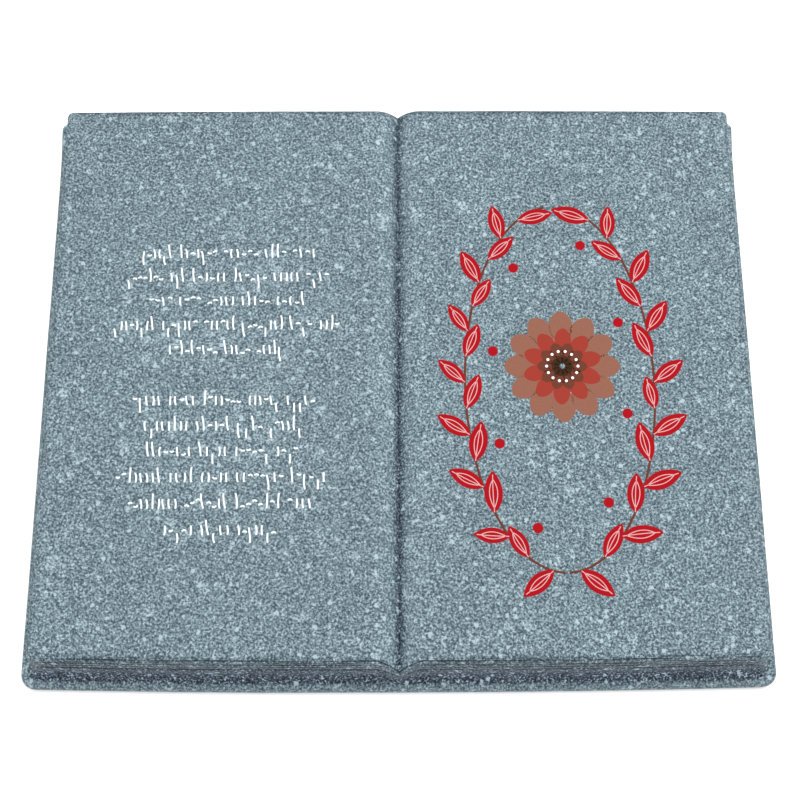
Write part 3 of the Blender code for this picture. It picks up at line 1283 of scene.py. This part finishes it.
class PetalRingTree(FilmTree):
    """Sets petals or leaves round an oval, outwards or along it, as films or as their veins."""

    name = "ring_of_petals"
    sockets = {
        "Centre": ("NodeSocketVector", (0.0, 0.0, 0.0)),
        "Half Width": ("NodeSocketFloat", 0.02),
        "Half Height": ("NodeSocketFloat", 0.02),
        "Count": ("NodeSocketInt", 12),
        "Petal Length": ("NodeSocketFloat", 0.012),
        "Petal Width": ("NodeSocketFloat", 0.005),
        "Roundness": ("NodeSocketFloat", 0.6),
        "Fullest Place": ("NodeSocketFloat", 1.0),
        "Along Share": ("NodeSocketFloat", 0.0),
        "Tilt": ("NodeSocketFloat", 0.0),
        "Jitter": ("NodeSocketFloat", 0.0),
        "Turn": ("NodeSocketFloat", 0.0),
        "Highest": ("NodeSocketFloat", 2.0),
        "Draw Veins": ("NodeSocketBool", False),
    }
    oval_points = 180
    petal_columns = 19
    petal_rows = 5
    petal_weld = 0.002
    film_weld = 0.000002
    vein_points = 9
    veins = ((0.0, 0.05, 0.92), (0.10, 0.44, 0.80), (0.10, -0.44, 0.80))
    shake_salt = 3
    size_salt = 5

    def shapes(self) -> Socket:
        """Makes the petals, or their veins, round the oval.

        Returns:
            The shapes, laid out flat.
        """
        given = self.given
        circle = self.add(
            "GeometryNodeCurvePrimitiveCircle", {"Resolution": self.oval_points, "Radius": 1.0}
        )
        turn = self.add("ShaderNodeCombineXYZ", {2: given["Turn"]})
        turned = self.add("GeometryNodeTransform", {"Geometry": circle, "Rotation": turn})
        halves = self.add(
            "ShaderNodeCombineXYZ", {0: given["Half Width"], 1: given["Half Height"], 2: 1.0}
        )
        oval = self.add("GeometryNodeTransform", {"Geometry": turned, "Scale": halves})
        spaced = self.add(
            "GeometryNodeResampleCurve", {"Curve": oval, "Count": given["Count"]}, mode="COUNT"
        )
        heading = self.add("ShaderNodeCombineXYZ", {2: self.heading()})
        instances = self.add(
            "GeometryNodeInstanceOnPoints",
            {
                "Points": spaced,
                "Selection": self.below_the_gap(),
                "Instance": self.films_or_veins(self.petal(), self.vein_lines()),
                "Rotation": heading,
                "Scale": self.petal_scale(),
            },
        )
        moved = self.add(
            "GeometryNodeTransform", {"Geometry": instances, "Translation": given["Centre"]}
        )
        real = self.add("GeometryNodeRealizeInstances", {0: moved})
        return self.films_or_veins(self.thickened(real), self.ribbon(real))

    def films_or_veins(self, films: Socket, veins: Socket) -> Socket:
        """Passes on the veins where they are asked for, and the films elsewhere.

        Args:
            films: The petals.
            veins: Their veins.

        Returns:
            The chosen geometry.
        """
        return self.add(
            "GeometryNodeSwitch",
            {0: self.given["Draw Veins"], 1: films, 2: veins},
            input_type="GEOMETRY",
        )

    def below_the_gap(self) -> Socket:
        """Finds whether a place lies low enough on the oval to hold a petal.

        Returns:
            1 where it does, and 0 in the gap at the head.
        """
        place = self.add("GeometryNodeInputPosition")
        height = add_node(self.tree, "ShaderNodeSeparateXYZ", {0: place}).outputs[1]
        half = self.given["Half Height"]
        share = self.add("ShaderNodeMath", {0: height, 1: half}, operation="DIVIDE")
        return self.add("ShaderNodeMath", {0: share, 1: self.given["Highest"]}, operation="LESS_THAN")

    def heading(self) -> Socket:
        """Works out each petal's direction: outward, or along the ring and up both sides.

        Returns:
            The angle from +X, tilted to one side and the other in turn.
        """
        place = self.add("GeometryNodeInputPosition")
        outward = self.add("ShaderNodeVectorMath", {0: place}, operation="NORMALIZE")
        across = self.add("ShaderNodeSeparateXYZ", {0: place})
        side = self.add("ShaderNodeMath", {0: across}, operation="SIGN")
        tangent = self.add("GeometryNodeInputTangent")
        growth = self.add("ShaderNodeVectorMath", {0: tangent, "Scale": side}, operation="SCALE")
        course = add_node(
            self.tree,
            "ShaderNodeMix",
            {0: self.given["Along Share"], 4: outward, 5: growth},
            data_type="VECTOR",
        ).outputs[1]
        x, y, _ = add_node(self.tree, "ShaderNodeSeparateXYZ", {0: course}).outputs
        angle = self.add("ShaderNodeMath", {0: y, 1: x}, operation="ARCTAN2")
        number = self.add("GeometryNodeInputIndex")
        odd = self.add("ShaderNodeMath", {0: number, 1: 2.0}, operation="MODULO")
        side = self.add("ShaderNodeMath", {0: odd, 1: 2.0, 2: -1.0}, operation="MULTIPLY_ADD")
        tilted = self.add(
            "ShaderNodeMath", {0: side, 1: self.given["Tilt"], 2: angle}, operation="MULTIPLY_ADD"
        )
        return self.add(
            "ShaderNodeMath",
            {0: self.random(-1.0, 1.0, self.shake_salt), 1: self.given["Jitter"], 2: tilted},
            operation="MULTIPLY_ADD",
        )

    def petal_scale(self) -> Socket:
        """Works out each petal's size, uneven by the jitter.

        Returns:
            The length, the width and 1, as a vector.
        """
        factor = self.add(
            "ShaderNodeMath",
            {0: self.random(-1.0, 1.0, self.size_salt), 1: self.given["Jitter"], 2: 1.0},
            operation="MULTIPLY_ADD",
        )
        length, width = self.given["Petal Length"], self.given["Petal Width"]
        length = self.add("ShaderNodeMath", {0: length, 1: factor}, operation="MULTIPLY")
        width = self.add("ShaderNodeMath", {0: width, 1: factor}, operation="MULTIPLY")
        return self.add("ShaderNodeCombineXYZ", {0: length, 1: width, 2: 1.0})

    def petal(self) -> Socket:
        """Makes a flat petal of length 1 along X and width 1.

        Its rows lie closer together at both tips, and its width is a power of a sine.

        Returns:
            The petal's mesh.
        """
        grid = self.add(
            "GeometryNodeMeshGrid", {0: 1.0, 1: 1.0, 2: self.petal_columns, 3: self.petal_rows}
        )
        place = self.add("GeometryNodeInputPosition")
        x, y, _ = add_node(self.tree, "ShaderNodeSeparateXYZ", {0: place}).outputs
        share = self.add("ShaderNodeMath", {0: x, 1: 0.5}, operation="ADD")
        angle = self.add("ShaderNodeMath", {0: share, 1: math.pi}, operation="MULTIPLY")
        cosine = self.add("ShaderNodeMath", {0: angle}, operation="COSINE")
        inset = self.add(
            "ShaderNodeMath", {0: cosine, 1: -0.5, 2: 0.5}, operation="MULTIPLY_ADD"
        )
        leaned = self.add(
            "ShaderNodeMath", {0: inset, 1: self.given["Fullest Place"]}, operation="POWER"
        )
        angle = self.add("ShaderNodeMath", {0: leaned, 1: math.pi}, operation="MULTIPLY")
        swell = self.add("ShaderNodeMath", {0: angle}, operation="SINE")
        swell = self.add("ShaderNodeMath", {0: swell, 1: 0.0}, operation="MAXIMUM")
        swell = self.add("ShaderNodeMath", {0: swell, 1: self.given["Roundness"]}, operation="POWER")
        width = self.add("ShaderNodeMath", {0: y, 1: swell}, operation="MULTIPLY")
        outline = self.add("ShaderNodeCombineXYZ", {0: inset, 1: width})
        shaped = self.add("GeometryNodeSetPosition", {"Geometry": grid, "Position": outline})
        return self.add(
            "GeometryNodeMergeByDistance", {"Geometry": shaped, "Distance": self.petal_weld}
        )

    def vein_lines(self) -> Socket:
        """Makes a bent midrib and two veins that run beside it, for a petal of length 1.

        Returns:
            The veins' curves.
        """
        joined = add_node(self.tree, "GeometryNodeJoinGeometry")
        for start, bend, end in self.veins:
            ends = {1: (start, 0.0, 0.0), 2: (0.5, bend, 0.0), 3: (end, 0.0, 0.0)}
            vein = self.add("GeometryNodeCurveQuadraticBezier", {0: self.vein_points, **ends})
            self.tree.links.new(vein, joined.inputs[0])
        return joined.outputs[0]

    def thickened(self, flat: Socket) -> Socket:
        """Makes flat petals closed films, from below the page to the film's height.

        Args:
            flat: The flat petals.

        Returns:
            The closed films.
        """
        proud = self.given["Film Height"]
        below = self.add("ShaderNodeMath", {0: proud, 1: -1.0}, operation="MULTIPLY")
        height = self.add("ShaderNodeMath", {0: proud, 1: 2.0}, operation="MULTIPLY")
        down = self.add("ShaderNodeCombineXYZ", {2: below})
        sunk = self.add("GeometryNodeSetPosition", {"Geometry": flat, "Offset": down})
        raised = self.add(
            "GeometryNodeExtrudeMesh",
            {"Mesh": sunk, "Offset": (0.0, 0.0, 1.0), "Offset Scale": height, "Individual": False},
            mode="FACES",
        )
        under = self.add("GeometryNodeFlipFaces", {0: sunk})
        joined = add_node(self.tree, "GeometryNodeJoinGeometry")
        for part in (under, raised):
            self.tree.links.new(part, joined.inputs[0])
        return self.add(
            "GeometryNodeMergeByDistance",
            {"Geometry": joined.outputs[0], "Distance": self.film_weld},
        )


class LineTree(FilmTree):
    """Sweeps the edges of a mesh into smooth printed lines."""

    name = "printed_lines"

    def shapes(self) -> Socket:
        """Returns the lines."""
        return self.ribbon(self.add("GeometryNodeMeshToCurve", {0: self.given["Geometry"]}))


@dataclass
class PrintedRows:
    """Rows of white strokes on the left page, in two blocks, which spell nothing.

    The strokes are drawn a little coarser than real printing, so that they show as strokes.
    The rows hold groups of strokes, and groups gives how many each row has.
    """

    centre_x: float = -0.0707
    first_row_y: float = 0.0489
    row_pitch: float = 0.0106
    block_gap: float = 0.0110
    row_lengths_mm: tuple[tuple[int, ...], ...] = (
        (71, 82, 63, 91, 45),
        (72, 62, 59, 82, 71, 43),
    )
    groups: tuple[tuple[int, ...], ...] = (
        (5, 6, 5, 6, 3),
        (5, 4, 4, 5, 4, 3),
    )
    group_gap: float = 0.0045
    group_evenness: tuple[float, float] = (0.5, 1.5)
    seed: int = 7
    sizes: dict[str, float] = field(
        default_factory=lambda: {
            "Stroke Pitch": 0.00215,
            "Small Height": 0.00385,
            "Tall Height": 0.00610,
            "Stroke Width": 0.00070,
            "Film Height": 0.00006,
            "Seed": 4,
        }
    )

    def build(self, page: bpy.types.Object, ink: bpy.types.Material) -> bpy.types.Object:
        """Makes the rows.

        Args:
            page: What they lie on.
            ink: The white ink.

        Returns:
            The finished piece.
        """
        values = {**self.sizes, "Page": page, "Ink": ink}
        return run_tree("printed_rows", self._groups_mesh(), StrokeRowTree().tree, values)

    def _groups_mesh(self) -> bpy.types.Mesh:
        """Lays out the groups of strokes, row by row, each row centred.

        Returns:
            A mesh with one edge for each group.
        """
        draw = np.random.default_rng(self.seed)
        points, edges = [], []
        y = self.first_row_y
        for lengths, counts in zip(self.row_lengths_mm, self.groups):
            for length, count in zip(lengths, counts):
                run = length * MM - self.group_gap * (count - 1)
                shares = draw.uniform(*self.group_evenness, count)
                x = self.centre_x - length * MM / 2
                for share in shares / shares.sum():
                    edges.append((len(points), len(points) + 1))
                    points += [(x, y, 0.0), (x + run * share, y, 0.0)]
                    x += run * share + self.group_gap
                y -= self.row_pitch
            y -= self.block_gap
        mesh = bpy.data.meshes.new("groups_of_strokes")
        mesh.from_pydata(points, edges, [])
        return mesh


@dataclass
class PrintedWreath:
    """An oval wreath of crimson leaves round a rosette, on the right page.

    Films of different inks differ in height where they overlap, so that none lies in the
    plane of another.
    """

    centre: tuple[float, float, float] = (0.0655, -0.0058, 0.0)
    rosette_centre: tuple[float, float, float] = (0.0668, 0.0010, 0.0)
    half_width: float = 0.0385
    half_height: float = 0.0775
    stem_width: float = 0.0009
    stem_film: float = 0.00004
    stem_points: int = 60
    stem_start: float = 0.02 - math.pi / 2
    stem_end: float = math.pi / 2 - 0.10
    leaf_count: int = 34
    vein_width: float = 0.00034
    vein_film: float = 0.00009
    berry_count: int = 8
    berry_inset_x: float = 0.0130
    berry_inset_y: float = 0.0140

    def build(
        self, page: bpy.types.Object, inks: dict[Tone, bpy.types.Material]
    ) -> list[bpy.types.Object]:
        """Makes the picture's pieces.

        Args:
            page: What they lie on.
            inks: The printing inks.

        Returns:
            The finished pieces.
        """
        tree = PetalRingTree().tree
        pieces = [self._stem(page, inks[Tone.BARK_INK])]
        for name, tone, values in self._rings():
            values = {**values, "Page": page, "Ink": inks[tone]}
            pieces.append(run_tree(name, bpy.data.meshes.new(name), tree, values))
        return pieces

    def _stem(self, page: bpy.types.Object, ink: bpy.types.Material) -> bpy.types.Object:
        """Makes the two stems, which part at the foot and nearly meet at the head.

        Args:
            page: What they lie on.
            ink: Their ink.

        Returns:
            The finished piece.
        """
        bm = bmesh.new()
        for side in (-1, 1):
            last = None
            for turn in np.linspace(self.stem_start, self.stem_end, self.stem_points):
                x = self.centre[0] + side * self.half_width * math.cos(turn)
                y = self.centre[1] + self.half_height * math.sin(turn)
                vertex = bm.verts.new((x, y, 0.0))
                if last is not None:
                    bm.edges.new((last, vertex))
                last = vertex
        mesh = bpy.data.meshes.new("wreath_stems")
        bm.to_mesh(mesh)
        bm.free()
        values = {
            "Page": page,
            "Ink": ink,
            "Stroke Width": self.stem_width,
            "Film Height": self.stem_film,
        }
        return run_tree("wreath_stems", mesh, LineTree().tree, values)

    def _rings(self) -> list[tuple[str, Tone, dict[str, object]]]:
        """Gives the sizes of each ring of petals, in the order in which they are made.

        Returns:
            The name, the ink's tone and the tree's values of each ring.
        """
        leaves = {
            "Centre": self.centre,
            "Half Width": self.half_width,
            "Half Height": self.half_height,
            "Count": self.leaf_count,
            "Petal Length": 0.0152,
            "Petal Width": 0.0068,
            "Roundness": 0.72,
            "Fullest Place": 0.92,
            "Along Share": 0.8,
            "Tilt": 0.62,
            "Jitter": 0.10,
            "Highest": 0.985,
            "Film Height": 0.00006,
            "Seed": 5,
        }
        veins = {
            **leaves,
            "Draw Veins": True,
            "Stroke Width": self.vein_width,
            "Film Height": self.vein_film,
        }
        berries = {
            "Centre": self.centre,
            "Half Width": self.half_width - self.berry_inset_x,
            "Half Height": self.half_height - self.berry_inset_y,
            "Count": self.berry_count,
            "Petal Length": 0.0042,
            "Petal Width": 0.0042,
            "Roundness": 0.5,
            "Turn": 0.39,
            "Film Height": 0.00006,
        }
        rosette = {"Centre": self.rosette_centre, "Roundness": 0.55, "Fullest Place": 1.25}
        outer = {
            **rosette,
            "Half Width": 0.0085,
            "Half Height": 0.0085,
            "Count": 12,
            "Petal Length": 0.0152,
            "Petal Width": 0.0098,
            "Film Height": 0.00004,
        }
        inner = {
            **rosette,
            "Half Width": 0.0045,
            "Half Height": 0.0045,
            "Count": 10,
            "Petal Length": 0.0118,
            "Petal Width": 0.0068,
            "Turn": 0.26,
            "Film Height": 0.00006,
        }
        heart = {
            **rosette,
            "Half Width": 0.0010,
            "Half Height": 0.0010,
            "Count": 10,
            "Petal Length": 0.0092,
            "Petal Width": 0.0054,
            "Film Height": 0.00008,
        }
        eye = {**heart, "Petal Length": 0.0034, "Petal Width": 0.0030, "Film Height": 0.00010}
        stamens = {
            **rosette,
            "Half Width": 0.0058,
            "Half Height": 0.0058,
            "Count": 14,
            "Petal Length": 0.0012,
            "Petal Width": 0.0012,
            "Roundness": 0.5,
            "Fullest Place": 1.0,
            "Film Height": 0.00012,
        }
        return [
            ("wreath_leaves", Tone.CRIMSON_INK, leaves),
            ("wreath_veins", Tone.VEIN_INK, veins),
            ("wreath_berries", Tone.CRIMSON_INK, berries),
            ("rosette_outer_petals", Tone.DUSTY_INK, outer),
            ("rosette_inner_petals", Tone.BRICK_INK, inner),
            ("rosette_heart", Tone.BARK_INK, heart),
            ("rosette_eye", Tone.DARK_INK, eye),
            ("rosette_stamens", Tone.WHITE_INK, stamens),
        ]


@dataclass
class Studio:
    """A pale floor, soft lights and the camera at the photograph's angle."""

    floor_half_side: float = 3.0
    floor_roughness: float = 0.9
    world_strength: float = 0.84
    key_power: float = 25.0
    key_side: float = 1.3
    key_place: tuple[float, float, float] = (0.20, 0.30, 1.45)
    elevation: float = math.radians(74.0)
    distance: float = 0.4998
    focal_mm: float = 55.63
    sensor_mm: float = 36.0
    nearest: float = 0.01
    aim: tuple[float, float, float] = (0.00077, -0.01326, 0.0335)
    turn: float = math.radians(-0.94)
    roll: float = math.radians(0.76)

    def build(self) -> None:
        """Sets up the whole studio."""
        self._floor()
        self._lights()
        self._camera()
        bpy.context.scene.view_settings.view_transform = "Standard"

    def _floor(self) -> None:
        """Lays a large pale floor under the plaque."""
        bm = bmesh.new()
        bmesh.ops.create_grid(bm, x_segments=2, y_segments=2, size=self.floor_half_side)
        mesh = bpy.data.meshes.new("studio_floor")
        bm.to_mesh(mesh)
        bm.free()
        material, _, shader = new_material("floor_paper")
        shader.inputs["Base Color"].default_value = linear(Tone.PAPER)
        shader.inputs["Roughness"].default_value = self.floor_roughness
        mesh.materials.append(material)
        floor = bpy.data.objects.new("studio_floor", mesh)
        bpy.context.scene.collection.objects.link(floor)

    def _lights(self) -> None:
        """Hangs a wide soft light over the head of the pages, in an even pale room."""
        world = bpy.data.worlds.new("studio_world")
        bpy.context.scene.world = world
        world.use_nodes = True
        background = world.node_tree.nodes["Background"]
        background.inputs["Color"].default_value = (1.0, 1.0, 1.0, 1.0)
        background.inputs["Strength"].default_value = self.world_strength
        lamp = bpy.data.lights.new("key_light", "AREA")
        lamp.shape = "SQUARE"
        lamp.size = self.key_side
        lamp.energy = self.key_power
        light = bpy.data.objects.new("key_light", lamp)
        light.location = self.key_place
        light.rotation_euler = (-Vector(self.key_place)).to_track_quat("-Z", "Y").to_euler()
        bpy.context.scene.collection.objects.link(light)

    def _camera(self) -> None:
        """Sets the camera where the photograph was taken from."""
        lens = bpy.data.cameras.new("camera")
        lens.lens = self.focal_mm
        lens.sensor_width = self.sensor_mm
        lens.clip_start = self.nearest
        camera = bpy.data.objects.new("camera", lens)
        back = Vector((0.0, -math.cos(self.elevation), math.sin(self.elevation)))
        look = (-back).to_track_quat("-Z", "Y").to_matrix().to_4x4()
        place = Matrix.Translation(Vector(self.aim) + back * self.distance)
        turned = Matrix.Rotation(self.turn, 4, "Z")
        camera.matrix_world = turned @ place @ look @ Matrix.Rotation(self.roll, 4, "Z")
        bpy.context.scene.collection.objects.link(camera)
        bpy.context.scene.camera = camera


def dress(piece: bpy.types.Object, slot: str) -> None:
    """Fixes a finished piece to the plaque, and logs it with the name of its finish's slot.

    Args:
        piece: The piece.
        slot: The slot's name.
    """
    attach(piece, ROOT)
    faces = len(piece.data.polygons)
    LOG.info("%s: %d faces, finish %s", piece.name, faces, slot)


def main() -> None:
    """Builds the casting, its printing and the studio, in that order."""
    logging.basicConfig(level=logging.INFO, format="%(message)s")
    tones = [tone for tone in Tone if tone.name.endswith("INK")]
    inks = {tone: PrintingInk(tone.name.lower(), tone).build() for tone in tones}
    casting = BookCasting().build(GraniteEffect().build())
    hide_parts(NODE)
    dress(casting, "granite_effect")
    dress(PrintedRows().build(casting, inks[Tone.WHITE_INK]), "white_ink")
    for piece in PrintedWreath().build(casting, inks):
        dress(piece, "coloured_ink")
    Studio().build()


if __name__ == "__main__":
    main()
